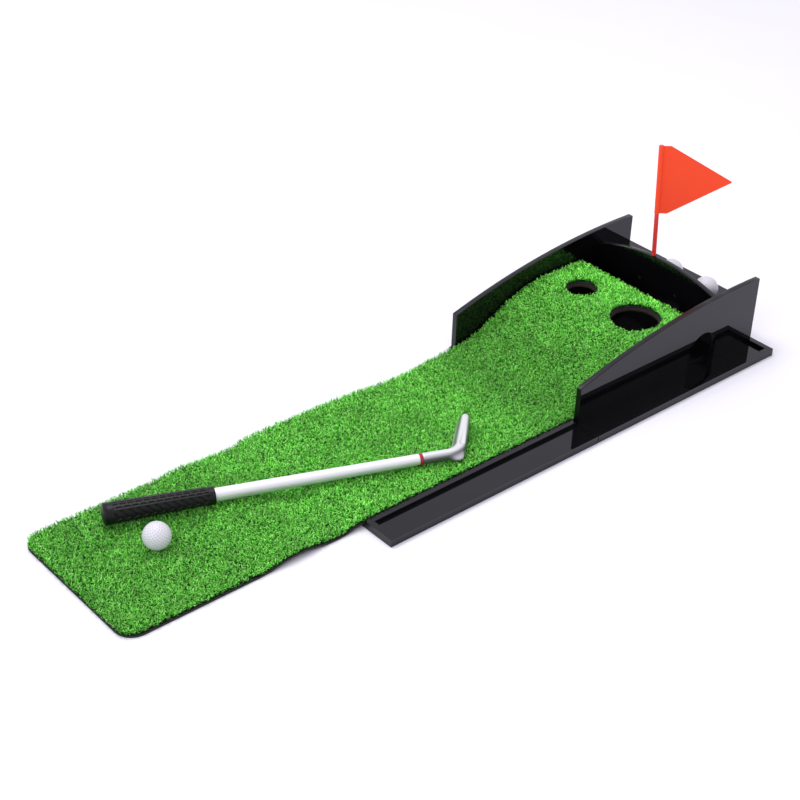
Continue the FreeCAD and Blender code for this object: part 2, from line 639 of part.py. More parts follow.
def back_groove(heel, heading, across):
    """A cutter for the tapering groove: its surface meets the blade's top at the far end."""
    surface = heel - across * GROOVE_OFFSET + UP * BLADE_HALF_THICKNESS
    start = surface + UP * (GROOVE_HEEL_RADIUS - GROOVE_DEPTH)
    end = surface + heading * GROOVE_LENGTH + UP * GROOVE_TOE_RADIUS
    run = end - start
    taper = cone(start, run, GROOVE_HEEL_RADIUS, GROOVE_TOE_RADIUS, run.Length)
    return taper.fuse(Part.makeSphere(GROOVE_HEEL_RADIUS, start))


def putter_head():
    start, axis, to_ring = putter_axis()
    base = start + axis * (to_ring + RING_LENGTH)
    socket = rod(base, axis, TENON_RADIUS, SHAFT_TENON - RING_LENGTH)
    hosel = rod(base, axis, HOSEL_RADIUS + HOSEL_SKIN, HOSEL_LENGTH)
    sections, heel, heading, across = head_sections(base, axis)
    blade = Part.makeLoft(sections, True, True).cut(back_groove(heel, heading, across))
    return hosel.fuse(blade).cut(socket)


# ---------------------------------------------------------------- the whole object


def all_parts():
    parts = {}
    parts["front_tray_floor"], parts["rear_tray_floor"] = tray_floors()
    parts.update(rims())
    parts["tray_dowels"] = Part.makeCompound(dowels(0.0))
    parts["left_side_panel"] = side_panel(PANEL_LEFT_IN, PANEL_LEFT_IN - BOARD)
    parts["right_side_panel"] = side_panel(PANEL_RIGHT_IN, PANEL_RIGHT_IN + BOARD).cut(door_tool())
    parts["arched_back_board"] = arched_board()
    parts["ball_shelf"] = ball_shelf()
    parts["rear_board"] = rear_board()
    parts["panel_screws"] = Part.makeCompound(panel_screws(0.0))
    parts["arch_screws"] = Part.makeCompound(arch_screws(0.0))
    parts["shelf_screws"] = Part.makeCompound(shelf_screws(0.0))
    parts["ramp_board"], parts["green_board"] = ramp_boards()
    parts.update(ramp_ribs())
    parts.update(green_ledges())
    parts["return_board"] = return_board()
    first = station(RAMP_SPLIT) + RUNNER_INSET
    last = station(ARCH_FRONT) - RUNNER_INSET - RUNNER_WIDTH
    parts["return_runner_front"] = return_runner(first)
    parts["return_runner_back"] = return_runner(last)
    parts["turf_backing"] = turf_layer(0.0, BACKING_THICKNESS, 0.0)
    parts["turf_pile"] = turf_layer(BACKING_THICKNESS, TURF_THICKNESS, -PILE_HOLE_MARGIN)
    parts["flag_pole"] = flag_pole()
    parts["pennant"] = pennant()
    parts.update(balls())
    parts["putter_grip"] = putter_grip()
    parts["grip_cap"] = grip_cap()
    parts["putter_shaft"] = putter_shaft()
    parts["shaft_ring"] = shaft_ring()
    parts["putter_head"] = putter_head()
    return parts


os.makedirs("parts", exist_ok=True)
for node, shape in all_parts().items():
    shape.exportStep("parts/" + node + ".step")
    print(node, shape.isValid(), len(shape.Solids), round(shape.Volume))
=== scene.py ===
import json
import math

import bmesh
import bpy
import numpy as np
from mathutils import Matrix, Vector
from mathutils.bvhtree import BVHTree


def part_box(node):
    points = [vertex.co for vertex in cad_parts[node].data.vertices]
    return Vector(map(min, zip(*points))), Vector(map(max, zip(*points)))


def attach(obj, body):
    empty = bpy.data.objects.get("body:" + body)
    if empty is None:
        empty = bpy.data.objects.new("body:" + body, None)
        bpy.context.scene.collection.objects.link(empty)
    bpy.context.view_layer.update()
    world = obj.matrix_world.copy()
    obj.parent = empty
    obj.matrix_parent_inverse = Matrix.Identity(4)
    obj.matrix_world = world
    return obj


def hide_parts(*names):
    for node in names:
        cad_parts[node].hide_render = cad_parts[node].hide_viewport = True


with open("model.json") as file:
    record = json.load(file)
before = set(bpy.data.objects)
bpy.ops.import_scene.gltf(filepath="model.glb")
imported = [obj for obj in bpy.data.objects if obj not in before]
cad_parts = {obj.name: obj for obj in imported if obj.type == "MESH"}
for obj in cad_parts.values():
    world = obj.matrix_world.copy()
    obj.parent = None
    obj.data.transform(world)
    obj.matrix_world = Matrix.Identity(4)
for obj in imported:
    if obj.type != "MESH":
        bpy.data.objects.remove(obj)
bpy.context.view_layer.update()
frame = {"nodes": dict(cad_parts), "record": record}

MM = 0.001
SEED = 7
WELD_DISTANCE = 0.001 * MM
EDGE_EASE = 0.25 * MM

# Camera
CAMERA_AT = (1.6401, -1.5179, 1.5305)
CAMERA_YAW = math.radians(48.455)
CAMERA_PITCH = math.radians(33.174)
CAMERA_ROLL = math.radians(1.956)
CAMERA_LENS = 75.985

# Turf
TUFT_SPACING = 3.7 * MM
BLADES_PER_TUFT = 6
BLADE_LENGTH = 10.2 * MM
BLADE_WIDTH = 1.15 * MM
BLADE_SCATTER = 0.45 * MM  # of the blades round their tuft's middle
BLADE_ROWS = ((0.0, 1.0), (0.4, 1.0), (0.75, 0.85), (1.0, 0.0))  # height for the colour, and width
TUFT_SHARE = 0.35  # how much of a blade's shade it has in common with its tuft
TURF_PIECES = 6
# Painted light and shade along the lane (darker front end and slope, brighter green at the back),
# partly the turf's own tone
LANE_PAINTED_LIGHT_AND_TONE = ((0.0, 0.74), (0.2, 0.8), (0.38, 0.95), (0.55, 0.85), (0.63, 0.95), (0.72, 0.66),
              (0.82, 0.74), (1.0, 1.18))  # share of the lane from its front end, and brightness
CORNER_RADIUS = 29.0 * MM
HOLE_MARGIN = 0.2 * MM
WALL_GAP = 0.3 * MM
EDGE_SWAYS = ((-0.34, 0.035, 6.0 * MM), (0.06, 0.085, 11.0 * MM))  # middle, half length, inset

# Golf balls
DIMPLES = 336
DIMPLE_RADIUS = 1.75 * MM
DIMPLE_DEPTH = 0.42 * MM
BALL_SUBDIVISIONS = 6

# Grip pattern: rows are (degrees from the top, offset along the row in dashes)
GRIP_AROUND = 200
GRIP_ALONG = 400
GROOVE_DEPTH = 1.7 * MM
GRIP_SKIN = 0.25 * MM  # how far the grip stays inside its packed outline
GRIP_PLAIN_END = 10.0 * MM
DASH_ROWS = ((10.0, 0.5), (31.0, 0.0))
DASH_PITCH = 12.0 * MM
HOOK_PITCH = 13.0 * MM
RIB_PITCH = 6.0 * MM

# Putter metal
SHAFT_TIP_SHARE = 0.965  # the shaft's tip radius over the ring's
SHAFT_INSIDE_GRIP = 20.0 * MM
LATHE_STEPS = 128
HEAD_VOXEL = 0.6 * MM
HEAD_SMOOTHINGS = 26

# Floor
FLOOR_SIZE = 60.0
FLOOR_HEIGHT = -0.4 * MM


# ---------------------------------------------------------------- materials


def material(name, colour, roughness, metallic=0.0, **sockets):
    """A Principled material. Other sockets are given by name, with _ for a space."""
    made = bpy.data.materials.new(name)
    made.use_nodes = True
    shader = made.node_tree.nodes["Principled BSDF"]
    shader.inputs["Base Color"].default_value = (*colour, 1.0)
    shader.inputs["Roughness"].default_value = roughness
    shader.inputs["Metallic"].default_value = metallic
    for socket, value in sockets.items():
        shader.inputs[socket.replace("_", " ")].default_value = value
    return made


def node(made, kind, **inputs):
    added = made.node_tree.nodes.new(kind)
    for socket, value in inputs.items():
        added.inputs[socket].default_value = value
    return added


def link(made, source, target):
    made.node_tree.links.new(source, target)


def shader_input(made, socket):
    return made.node_tree.nodes["Principled BSDF"].inputs[socket]


def noise(made, scale, detail=3.0, stretch=(1.0, 1.0, 1.0)):
    """Noise over the object's own coordinates, in metres."""
    place = node(made, "ShaderNodeTexCoord")
    shape = node(made, "ShaderNodeMapping")
    shape.inputs["Scale"].default_value = stretch
    link(made, place.outputs["Object"], shape.inputs["Vector"])
    grain = node(made, "ShaderNodeTexNoise", Scale=scale, Detail=detail)
    link(made, shape.outputs["Vector"], grain.inputs["Vector"])
    return grain.outputs["Fac"]


def ramp(made, source, stops):
    """A colour ramp: stops are (position, colour) pairs, and a number is a grey."""
    added = node(made, "ShaderNodeValToRGB")
    elements = added.color_ramp.elements
    while len(elements) < len(stops):
        elements.new(0.5)
    for element, (position, value) in zip(elements, stops):
        element.position = position
        element.color = (*value, 1.0) if hasattr(value, "__len__") else (value, value, value, 1.0)
    link(made, source, added.inputs["Fac"])
    return added.outputs["Color"]


def colour_from(made, source, stops):
    link(made, ramp(made, source, stops), shader_input(made, "Base Color"))


def roughness_from(made, source, low, high):
    scaled = node(made, "ShaderNodeMapRange")
    scaled.inputs["From Min"].default_value = 0.3
    scaled.inputs["From Max"].default_value = 0.7
    scaled.inputs["To Min"].default_value = low
    scaled.inputs["To Max"].default_value = high
    link(made, source, scaled.inputs["Value"])
    link(made, scaled.outputs["Result"], shader_input(made, "Roughness"))


def bump_from(made, source, height, strength=1.0):
    added = node(made, "ShaderNodeBump", Strength=strength, Distance=height)
    link(made, source, added.inputs["Height"])
    link(made, added.outputs["Normal"], shader_input(made, "Normal"))


def multiplied(made, first, second):
    added = node(made, "ShaderNodeMix")
    added.data_type = "RGBA"
    added.blend_type = "MULTIPLY"
    added.inputs["Factor"].default_value = 1.0
    link(made, first, added.inputs["A"])
    link(made, second, added.inputs["B"])
    return added.outputs["Result"]


def separate(made, source):
    """The X, Y and Z of a vector."""
    split = node(made, "ShaderNodeSeparateXYZ")
    link(made, source, split.inputs["Vector"])
    return split.outputs


def object_normal(made):
    return separate(made, node(made, "ShaderNodeTexCoord").outputs["Normal"])


def surface_uv(made):
    return separate(made, node(made, "ShaderNodeUVMap").outputs["UV"])


def gloss_black(name="gloss_black", sheet_axis=None):
    """Polished black sheet: mirror-like, with faint wiping marks, and sawn edges off its axis."""
    made = material(name, (0.002, 0.002, 0.0024), 0.03, IOR=1.43,
                    Specular_Tint=(0.92, 0.9, 1.0, 1.0))
    smudges = noise(made, 9.0, 5.0)
    colour_from(made, smudges, [(0.3, (0.0016, 0.0016, 0.002)), (0.75, (0.004, 0.004, 0.005))])
    if sheet_axis:
        sawn_edges(made, sheet_axis)
    else:
        roughness_from(made, smudges, 0.015, 0.06)
    bump_from(made, noise(made, 5.0, 1.0), 0.02 * MM)
    return made


def sawn_edges(made, axis):
    """Faces that don't look along the axis are sawn edges, polished less than the sheet's face."""
    size = node(made, "ShaderNodeMath")
    size.operation = "ABSOLUTE"
    link(made, object_normal(made)[axis], size.inputs[0])
    blend = node(made, "ShaderNodeMapRange")
    blend.inputs["To Min"].default_value = 0.32
    blend.inputs["To Max"].default_value = 0.035
    link(made, size.outputs["Value"], blend.inputs["Value"])
    link(made, blend.outputs["Result"], shader_input(made, "Roughness"))


def fibreboard():
    made = material("fibreboard", (0.3, 0.2, 0.12), 0.8)
    fibres = noise(made, 900.0, 6.0, (1.0, 0.35, 1.0))
    colour_from(made, fibres, [(0.3, (0.009, 0.006, 0.004)), (0.7, (0.032, 0.02, 0.012))])
    bump_from(made, fibres, 0.15 * MM)
    return made


def dowel_wood():
    made = material("dowel_wood", (0.6, 0.44, 0.27), 0.6)
    grain = noise(made, 700.0, 4.0, (1.0, 0.08, 1.0))
    colour_from(made, grain, [(0.3, (0.5, 0.35, 0.2)), (0.7, (0.7, 0.54, 0.35))])
    bump_from(made, grain, 0.1 * MM)
    return made


def screw_steel():
    made = material("screw_steel", (0.1, 0.1, 0.105), 0.35, metallic=1.0)
    brushed = noise(made, 1500.0, 3.0, (1.0, 1.0, 0.1))
    colour_from(made, brushed, [(0.3, (0.08, 0.08, 0.085)), (0.7, (0.14, 0.14, 0.145))])
    roughness_from(made, brushed, 0.3, 0.5)
    bump_from(made, brushed, 0.02 * MM)
    return made


def backing_rubber():
    made = material("backing_rubber", (0.012, 0.012, 0.012), 0.75)
    grain = noise(made, 1200.0, 4.0)
    colour_from(made, grain, [(0.3, (0.006, 0.006, 0.006)), (0.7, (0.02, 0.02, 0.019))])
    bump_from(made, grain, 0.25 * MM)
    return made


def lane_share(made):
    """0 at the mat's front end and 1 at its back end."""
    place = separate(made, node(made, "ShaderNodeTexCoord").outputs["Object"])
    share = node(made, "ShaderNodeMapRange")
    low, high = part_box("turf_backing")
    share.inputs["From Min"].default_value = low[1]
    share.inputs["From Max"].default_value = high[1]
    link(made, place["Y"], share.inputs["Value"])
    return share.outputs["Result"]


def turf_green():
    """The blades: painted shade at the roots and painted highlights at the tips along V, each blade's
    own tone along U with its palest end a painted highlight, and painted light and shade drifting along
    the lane.
    """
    made = material("turf_green", (0.1, 0.4, 0.05), 0.45, Specular_IOR_Level=0.3)
    blade = surface_uv(made)
    # painted shade at the blade roots and painted highlight at the pale tips
    along = ramp(made, blade["Y"], [
        (0.0, (0.001, 0.01, 0.001)), (0.45, (0.012, 0.11, 0.006)),
        (0.72, (0.09, 0.72, 0.03)), (1.0, (0.6, 1.08, 0.29))])
    # Each blade's own random tone; its palest end, whiter and brighter than white, is a painted
    # highlight
    shade = ramp(made, blade["X"], [
        (0.0, (0.06, 0.16, 0.05)), (0.35, (0.5, 0.72, 0.38)), (0.65, (1.15, 1.25, 1.05)),
        (1.0, (2.1, 1.6, 2.5))])
    patches = ramp(made, noise(made, 26.0, 3.0), [(0.3, 0.82), (0.7, 1.12)])
    # painted light and shade along the lane, partly the turf's own tone
    painted_lane_light_and_tone = ramp(made, lane_share(made), LANE_PAINTED_LIGHT_AND_TONE)
    painted_light_and_mottling = multiplied(made, multiplied(made, along, shade), patches)
    link(made, multiplied(made, painted_light_and_mottling, painted_lane_light_and_tone), shader_input(made, "Base Color"))
    return made


def flag_pole_red():
    made = material("flag_pole_red", (0.7, 0.03, 0.03), 0.3)
    streaks = noise(made, 300.0, 3.0, (1.0, 1.0, 0.05))
    colour_from(made, streaks, [(0.3, (0.62, 0.02, 0.022)), (0.7, (0.8, 0.045, 0.04))])
    roughness_from(made, streaks, 0.22, 0.4)
    return made


def pennant_orange():
    made = material("pennant_orange", (1.0, 0.085, 0.026), 0.6, Specular_IOR_Level=0.2)
    weave = noise(made, 1400.0, 2.0)
    colour_from(made, weave, [(0.3, (0.98, 0.066, 0.02)), (0.7, (1.0, 0.088, 0.03))])
    bump_from(made, weave, 0.04 * MM)
    return made


def ball_white():
    """U is how deep a point lies in its dimple, and the dimples get painted shade, darker the deeper.
    """
    made = material("ball_white", (0.64, 0.63, 0.68), 0.4, Coat_Weight=0.15, Coat_Roughness=0.2)
    # painted shade in the dimples
    colour_from(made, surface_uv(made)["X"], [(0.0, (0.68, 0.67, 0.72)), (1.0, (0.46, 0.45, 0.5))])
    roughness_from(made, noise(made, 60.0, 3.0), 0.3, 0.42)
    return made


def grip_rubber():
    made = material("grip_rubber", (0.002, 0.002, 0.0025), 0.38, Specular_IOR_Level=0.27)
    grain = noise(made, 1800.0, 3.0)
    colour_from(made, grain, [(0.3, (0.0015, 0.0015, 0.002)), (0.7, (0.004, 0.004, 0.0045))])
    roughness_from(made, grain, 0.34, 0.46)
    bump_from(made, grain, 0.03 * MM)
    return made


def satin_silver(name, rough, metallic, painted_side_shade, top):
    """Silver paint over metal, with painted light: paler where it looks up, and painted shade greyer
    down its sides.
    """
    made = material(name, (0.62, 0.62, 0.64), rough, metallic=metallic)
    # painted light by facing: painted shade on the sides and underside, painted top light where it
    # faces up
    painted_light_tones = [(0.0, (painted_side_shade * 0.97, painted_side_shade, painted_side_shade * 0.98)), (0.35, (painted_side_shade, painted_side_shade, painted_side_shade * 1.04)),
             (0.95, (top, top, top * 1.02))]
    colour_from(made, object_normal(made)["Z"], painted_light_tones)
    roughness_from(made, noise(made, 500.0, 3.0), rough - 0.02, rough + 0.03)
    return made


def ring_red():
    made = material("ring_red", (0.38, 0.008, 0.02), 0.3)
    streaks = noise(made, 400.0, 2.0)
    colour_from(made, streaks, [(0.3, (0.32, 0.006, 0.015)), (0.7, (0.45, 0.012, 0.026))])
    return made


def floor_white():
    made = material("floor_white", (0.86, 0.85, 0.9), 0.9, Specular_IOR_Level=0.1)
    cloud = noise(made, 3.0, 2.0)
    colour_from(made, cloud, [(0.2, (0.85, 0.84, 0.89)), (0.8, (0.87, 0.86, 0.91))])
    return made


MATERIALS = {
    "gloss_black": gloss_black(),
    "board": fibreboard(),
    "dowel_wood": dowel_wood(),
    "screw_steel": screw_steel(),
    "backing_rubber": backing_rubber(),
    "turf": turf_green(),
    "flag_pole_red": flag_pole_red(),
    "pennant_orange": pennant_orange(),
    "ball_white": ball_white(),
    "grip_rubber": grip_rubber(),
    "shaft_silver": satin_silver("shaft_silver", 0.4, 0.55, 0.7, 0.92),
    "ring_red": ring_red(),
    "head_silver": satin_silver("head_silver", 0.31, 0.7, 0.16, 0.82),
}


# ---------------------------------------------------------------- pieces


def finish_cad_nodes():
    """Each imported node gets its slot's material, and the hard boards get eased edges."""
    side_panels = gloss_black("gloss_black_side_panels", "X")
    cross_boards = gloss_black("gloss_black_cross_boards", "Y")
    uprights = {"left_side_panel": side_panels, "right_side_panel": side_panels,
                "arched_back_board": cross_boards, "rear_board": cross_boards}
    for part in frame["record"]["subparts"]:
        shown = frame["nodes"][part["node"]]
        shown.data.materials.clear()
        shown.data.materials.append(uprights.get(part["node"], MATERIALS[part["material_slot"]]))
        if part["material_slot"] in ("gloss_black", "board"):
            ease_edges(shown)


def ease_edges(shown):
    weld = shown.modifiers.new("weld", "WELD")
    weld.merge_threshold = WELD_DISTANCE
    bevel = shown.modifiers.new("eased_edges", "BEVEL")
    bevel.width = EDGE_EASE
    bevel.segments = 2
    bevel.limit_method = "ANGLE"
    bevel.angle_limit = math.radians(50.0)
    bevel.harden_normals = True


def mesh_piece(name, points, faces, slot, body, replaced, smooth=True):
    mesh = bpy.data.meshes.new(name)
    mesh.from_pydata([tuple(p) for p in points], [], faces)
    mesh.validate()
    mesh.polygons.foreach_set("use_smooth", [smooth] * len(mesh.polygons))
    return add_piece(name, mesh, slot, body, replaced)


def add_piece(name, mesh, slot, body, replaced):
    piece = bpy.data.objects.new(name, mesh)
    bpy.context.scene.collection.objects.link(piece)
    mesh.materials.clear()
    mesh.materials.append(MATERIALS[slot])
    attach(piece, body)
    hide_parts(*replaced)
    return piece


def centre_of(name):
    low, high = (Vector(corner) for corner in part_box(name))
    return (low + high) / 2.0


# Turf


def lane_profile():
    """The backing's top along the lane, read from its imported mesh: Y, height and slope angle."""
    shown = frame["nodes"]["turf_backing"]
    mesh = shown.data
    tree = BVHTree.FromPolygons([v.co for v in mesh.vertices], [p.vertices for p in mesh.polygons])
    low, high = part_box("turf_backing")
    ys = np.arange(low[1] + 0.2 * MM, high[1], 1.0 * MM)
    column = (low[0] + high[0]) / 2.0
    zs = np.array([tree.ray_cast(Vector((column, y, 1.0)), Vector((0, 0, -1)))[0].z for y in ys])
    window = np.hanning(11)
    padded = np.pad(zs, 5, mode="edge")
    zs = np.convolve(padded, window / window.sum(), mode="valid")
    return ys, zs, np.arctan(np.gradient(zs, ys))


def edge_sway(y):
    """How far the mat's free left edge has crept inwards at y."""
    return sum(inset * np.exp(-((y - middle) / half) ** 2) for middle, half, inset in EDGE_SWAYS)


def swayed(x, y, left, right):
    """The mat is pulled in from its left edge, and stays put along its right one."""
    return x + edge_sway(y) * ((right - x) / (right - left)) ** 2


def cup_holes():
    """Centre and radius of the two cup holes, read from the green's board and the turf's gap."""
    mesh = frame["nodes"]["turf_pile"].data
    points = np.array([v.co for v in mesh.vertices])
    openings = {o["name"]: o["box_m"] for o in frame["record"]["physics"]["openings"]}
    holes = []
    for name in ("big_cup_hole", "small_cup_hole"):
        low, high = openings[name]
        middle = np.array([(low[0] + high[0]) / 2.0, (low[1] + high[1]) / 2.0])
        nearest = np.linalg.norm(points[:, :2] - middle, axis=1).min()
        holes.append((middle, nearest))
    return holes


def turf_backing():
    """The rubber backing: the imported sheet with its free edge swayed."""
    source = frame["nodes"]["turf_backing"].data
    mesh = source.copy()
    work = bmesh.new()
    work.from_mesh(mesh)
    bmesh.ops.remove_doubles(work, verts=work.verts, dist=WELD_DISTANCE)
    low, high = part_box("turf_backing")
    for y in np.arange(low[1] + 20 * MM, high[1], 15 * MM):
        everything = work.verts[:] + work.edges[:] + work.faces[:]
        bmesh.ops.bisect_plane(work, geom=everything, plane_co=(0, y, 0), plane_no=(0, 1, 0))
    for v in work.verts:
        v.co.x = swayed(v.co.x, v.co.y, low[0], high[0])
    work.to_mesh(mesh)
    work.free()
    return add_piece("turf_backing_sheet", mesh, "backing_rubber", "putting_green", ["turf_backing"])


def tuft_roots(rng, ys, zs):
    """Tuft positions on a jittered grid over the mat's plan, measured along the slope."""
    low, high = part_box("turf_backing")
    run = np.concatenate([[0.0], np.cumsum(np.hypot(np.diff(ys), np.diff(zs)))])
    rows = np.arange(TUFT_SPACING / 2.0, run[-1], TUFT_SPACING)
    columns = np.arange(low[0] + TUFT_SPACING / 2.0, high[0], TUFT_SPACING)
    along, across = (grid.ravel() for grid in np.meshgrid(rows, columns, indexing="ij"))
    along = along + rng.uniform(-0.5, 0.5, along.size) * TUFT_SPACING
    across = across + rng.uniform(-0.45, 0.45, across.size) * TUFT_SPACING
    y = np.interp(along, run, ys)
    keep = np.ones(y.size, bool)
    for middle, radius in cup_holes():
        keep &= np.hypot(across - middle[0], y - middle[1]) > radius + HOLE_MARGIN
    for side, edge in ((1.0, high[0]), (-1.0, low[0])):
        dx = side * (across - edge) + CORNER_RADIUS
        dy = low[1] + CORNER_RADIUS - y
        keep &= ~((dx > 0) & (dy > 0) & (np.hypot(dx, dy) > CORNER_RADIUS))
    return swayed(across[keep], y[keep], low[0], high[0]), y[keep]


def blade_points(rng, x, y, z, slope):
    """Seven points for each blade: three pairs up a curling ribbon, and its tip."""
    count = x.size
    ahead = np.stack([np.zeros(count), np.cos(slope), np.sin(slope)], 1)
    out = np.stack([np.zeros(count), -np.sin(slope), np.cos(slope)], 1)
    side = np.tile([1.0, 0.0, 0.0], (count, 1))
    heading = rng.uniform(0.0, 2.0 * math.pi, count)
    lean = rng.uniform(0.05, 0.7, count)
    length = BLADE_LENGTH * np.clip(rng.normal(1.0, 0.12, count), 0.7, 1.2)
    width = BLADE_WIDTH * rng.uniform(0.8, 1.15, count)
    here = np.stack([x, y, z], 1)
    rows = []
    curl = rng.uniform(0.15, 0.7, count)
    twist = rng.normal(0.0, 0.9, count)
    for _, taper in BLADE_ROWS:
        flat = side * np.cos(heading)[:, None] + ahead * np.sin(heading)[:, None]
        across = side * -np.sin(heading)[:, None] + ahead * np.cos(heading)[:, None]
        if taper > 0.0:
            offset = across * (width * taper / 2.0)[:, None]
            rows += [here - offset, here + offset]
        else:
            rows.append(here)
        reach = out * np.cos(lean)[:, None] + flat * np.sin(lean)[:, None]
        here = here + reach * (length / 3.0)[:, None]
        lean = lean + curl
        heading = heading + twist
    return np.stack(rows, 1)


def turf_blades():
    """The pile: curling blades in tufts, split along the lane into pieces."""
    rng = np.random.default_rng(SEED)
    ys, zs, slopes = lane_profile()
    x, y = tuft_roots(rng, ys, zs)
    tuft_shade = rng.uniform(0.0, 1.0, x.size)
    x, y, tuft_shade = (np.repeat(values, BLADES_PER_TUFT) for values in (x, y, tuft_shade))
    x = x + rng.normal(0.0, BLADE_SCATTER, x.size)
    y = y + rng.normal(0.0, BLADE_SCATTER, y.size)
    points = blade_points(rng, x, y, np.interp(y, ys, zs), np.interp(y, ys, slopes))
    shade = TUFT_SHARE * tuft_shade + (1.0 - TUFT_SHARE) * rng.uniform(0.0, 1.0, x.size)
    hold_over_backing(points)
    hold_inside_walls(points)
    hold_out_of_holes(points)
    limits = np.linspace(ys[0], ys[-1], TURF_PIECES + 1)
    limits[0], limits[-1] = -10.0, 10.0
    made = []
    for i in range(TURF_PIECES):
        chosen = (y >= limits[i]) & (y < limits[i + 1])
        made.append(blade_piece("turf_pile_" + str(i + 1), points[chosen], shade[chosen]))
    return made


def hold_over_backing(points):
    """Blades at the mat's free edges were trimmed to its outline, give or take a little."""
    low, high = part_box("turf_backing")
    x, y = points[..., 0], points[..., 1]
    x = np.clip(x, low[0] + edge_sway(y) - 3.0 * MM, high[0] + 0.8 * MM)
    y = np.maximum(y, low[1] - 1.5 * MM)
    for side, edge in ((1.0, high[0]), (-1.0, low[0])):
        dx = side * (x - edge) + CORNER_RADIUS
        dy = low[1] + CORNER_RADIUS - y
        away = np.hypot(dx, dy)
        inwards = np.minimum(1.0, (CORNER_RADIUS + 1.5 * MM) / np.maximum(away, MM))
        shrink = np.where((dx > 0) & (dy > 0), inwards, 1.0)
        x = edge + side * (dx * shrink - CORNER_RADIUS)
        y = low[1] + CORNER_RADIUS - dy * shrink
    points[..., 0] = x
    points[..., 1] = y


def hold_inside_walls(points):
    """Blades beside a rail or a panel stand against it instead of going through it."""
    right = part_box("gutter_inner_rail")[0][0] - WALL_GAP
    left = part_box("left_side_panel")[1][0] + WALL_GAP
    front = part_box("gutter_inner_rail")[0][1] - 10 * MM
    panel_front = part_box("left_side_panel")[0][1]
    x, y = points[..., 0], points[..., 1]
    points[..., 0] = np.where(y > front, np.minimum(x, right), x)
    x = points[..., 0]
    points[..., 0] = np.where(y > panel_front, np.maximum(x, left), x)


def hold_out_of_holes(points):
    """Blades round a cup hole stand up along its edge, so the opening stays round and dark."""
    for middle, radius in cup_holes():
        dx, dy = points[..., 0] - middle[0], points[..., 1] - middle[1]
        away = np.maximum(np.hypot(dx, dy), MM)
        push = np.maximum(1.0, radius / away)
        points[..., 0] = middle[0] + dx * push
        points[..., 1] = middle[1] + dy * push


def blade_piece(name, points, shade):
    count = len(points)
    base = np.arange(count)[:, None] * 7
    quads = np.concatenate([base + [0, 1, 3, 2], base + [2, 3, 5, 4]], 1).reshape(-1, 4)
    tips = base + [4, 5, 6]
    mesh = bpy.data.meshes.new(name)
    mesh.vertices.add(count * 7)
    mesh.vertices.foreach_set("co", points.reshape(-1).astype(np.float32))
    corners = np.concatenate([quads.reshape(-1), tips.reshape(-1)])
    mesh.loops.add(corners.size)
    mesh.loops.foreach_set("vertex_index", corners.astype(np.int32))
    sizes = np.concatenate([np.full(len(quads), 4), np.full(len(tips), 3)])
    mesh.polygons.add(sizes.size)
    mesh.polygons.foreach_set("loop_start", (np.cumsum(sizes) - sizes).astype(np.int32))
    mesh.update(calc_edges=True)
    height = np.repeat([share for share, _ in BLADE_ROWS], 2)[:7]
    uv = np.stack([np.repeat(shade, 7), np.tile(height, count)], 1)
    layer = mesh.uv_layers.new(name="blade")
    layer.data.foreach_set("uv", uv[corners].reshape(-1).astype(np.float32))
    return add_piece(name, mesh, "turf", "putting_green", ["turf_pile"])


# Balls


def dimple_centres():
    """Evenly spread directions over a sphere."""
    steps = np.arange(DIMPLES) + 0.5
    height = 1.0 - 2.0 * steps / DIMPLES
    turn = steps * math.pi * (3.0 - math.sqrt(5.0))
    flat = np.sqrt(1.0 - height ** 2)
    return np.stack([flat * np.cos(turn), flat * np.sin(turn), height], 1)


def golf_ball(cad_node, body):
    low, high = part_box(cad_node)
    radius = (high[0] - low[0]) / 2.0
    work = bmesh.new()
    bmesh.ops.create_icosphere(work, subdivisions=BALL_SUBDIVISIONS, radius=1.0)
    directions = np.array([v.co.normalized() for v in work.verts])
    nearest = (directions @ dimple_centres().T).max(1)
    distance = np.arccos(np.clip(nearest, -1.0, 1.0)) * radius / DIMPLE_RADIUS
    depth = DIMPLE_DEPTH * np.clip(1.0 - distance ** 2, 0.0, 1.0)
    centre = centre_of(cad_node)
    for v, direction, sunk in zip(work.verts, directions, depth):
        v.co = centre + Vector(direction) * (radius - sunk)
    mesh = bpy.data.meshes.new(cad_node + "_dimpled")
    work.to_mesh(mesh)
    work.free()
    mesh.polygons.foreach_set("use_smooth", [True] * len(mesh.polygons))
    corners = np.empty(len(mesh.loops), np.int32)
    mesh.loops.foreach_get("vertex_index", corners)
    share = (depth / DIMPLE_DEPTH)[corners]
    layer = mesh.uv_layers.new(name="dimple")
    layer.data.foreach_set("uv", np.stack([share, np.zeros(share.size)], 1).ravel().astype(np.float32))
    return add_piece(cad_node + "_dimpled", mesh, "ball_white", body, [cad_node])


# Putter grip


def smooth_step(low, high, value):
    t = np.clip((value - low) / (high - low), 0.0, 1.0)
    return t * t * (3.0 - 2.0 * t)


def band(value, middle, half, soft):
    """1 within half of the middle, falling to 0 over soft."""
    return 1.0 - smooth_step(half, half + soft, np.abs(value - middle))


